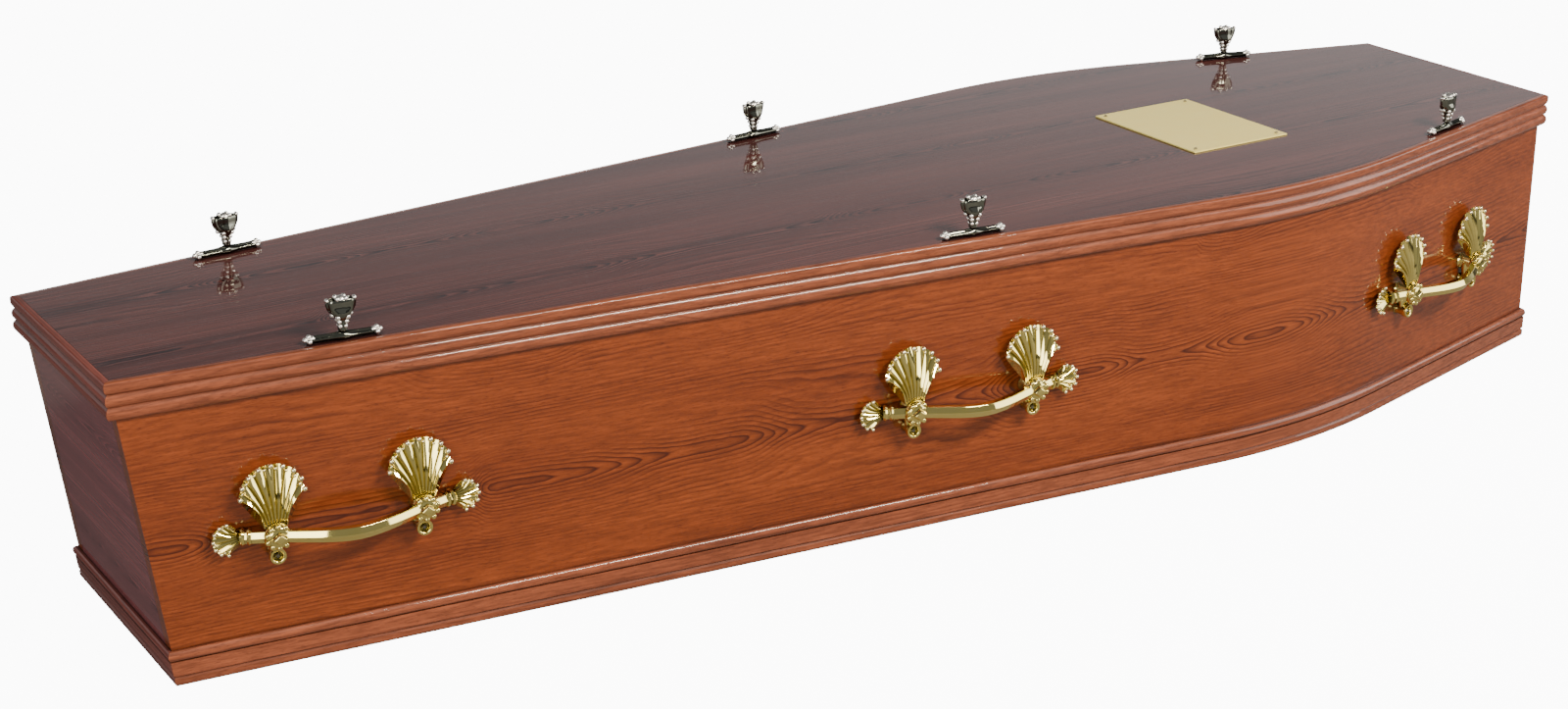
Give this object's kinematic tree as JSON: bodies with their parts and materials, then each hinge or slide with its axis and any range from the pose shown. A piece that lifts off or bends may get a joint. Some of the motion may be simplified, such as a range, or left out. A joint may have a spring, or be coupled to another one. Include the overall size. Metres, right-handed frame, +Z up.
{
  "type": "wooden coffin",
  "caption": "Shouldered mahogany-veneered coffin with reeded lid moulding, shell-pattern cast handles, wreath-holder lid screws and a bare nameplate",
  "frame": {"origin": "On the floor, under the middle of the whole object's length and width", "axes": "+X from the foot end to the head end, +Z up, the left side at -Y as for a person lying face up"},
  "size_m": [1.896, 0.5704, 0.3749],
  "materials": {
    "mahogany_panel": "high gloss lacquer over mahogany veneer",
    "mahogany_lid": "high gloss lacquer over dark mahogany veneer",
    "mahogany_moulding": "high gloss lacquered solid mahogany",
    "base_wood": "plain board, sanded",
    "handle_brass": "polished plated casting",
    "screw_metal": "plated screw head",
    "lid_screw_nickel": "polished nickel plate",
    "plate_brass": "satin brass, engraved panel left bare"
  },
  "bodies": {
    "root": {"base_board": "base_wood", "base_moulding_foot": "mahogany_moulding", "base_moulding_head": "mahogany_moulding", "base_moulding_left": "mahogany_moulding", "base_moulding_right": "mahogany_moulding", "foot_end_board": "mahogany_panel", "handle_left_foot": "handle_brass", "handle_left_head": "handle_brass", "handle_left_middle": "handle_brass", "handle_right_foot": "handle_brass", "handle_right_head": "handle_brass", "handle_right_middle": "handle_brass", "handle_screw_left_foot_a": "screw_metal", "handle_screw_left_foot_b": "screw_metal", "handle_screw_left_head_a": "screw_metal", "handle_screw_left_head_b": "screw_metal", "handle_screw_left_middle_a": "screw_metal", "handle_screw_left_middle_b": "screw_metal", "handle_screw_right_foot_a": "screw_metal", "handle_screw_right_foot_b": "screw_metal", "handle_screw_right_head_a": "screw_metal", "handle_screw_right_head_b": "screw_metal", "handle_screw_right_middle_a": "screw_metal", "handle_screw_right_middle_b": "screw_metal", "head_end_board": "mahogany_panel", "lid_board": "mahogany_lid", "lid_moulding_foot": "mahogany_moulding", "lid_moulding_head": "mahogany_moulding", "lid_moulding_left": "mahogany_moulding", "lid_moulding_right": "mahogany_moulding", "lid_screw_bar_left_foot": "lid_screw_nickel", "lid_screw_bar_left_head": "lid_screw_nickel", "lid_screw_bar_left_middle": "lid_screw_nickel", "lid_screw_bar_right_foot": "lid_screw_nickel", "lid_screw_bar_right_head": "lid_screw_nickel", "lid_screw_bar_right_middle": "lid_screw_nickel", "lid_screw_knob_left_foot": "lid_screw_nickel", "lid_screw_knob_left_head": "lid_screw_nickel", "lid_screw_knob_left_middle": "lid_screw_nickel", "lid_screw_knob_right_foot": "lid_screw_nickel", "lid_screw_knob_right_head": "lid_screw_nickel", "lid_screw_knob_right_middle": "lid_screw_nickel", "nameplate": "plate_brass", "nameplate_pin_left_foot": "plate_brass", "nameplate_pin_left_head": "plate_brass", "nameplate_pin_right_foot": "plate_brass", "nameplate_pin_right_head": "plate_brass", "side_board_left": "mahogany_panel", "side_board_right": "mahogany_panel"}
  },
  "joints": []
}
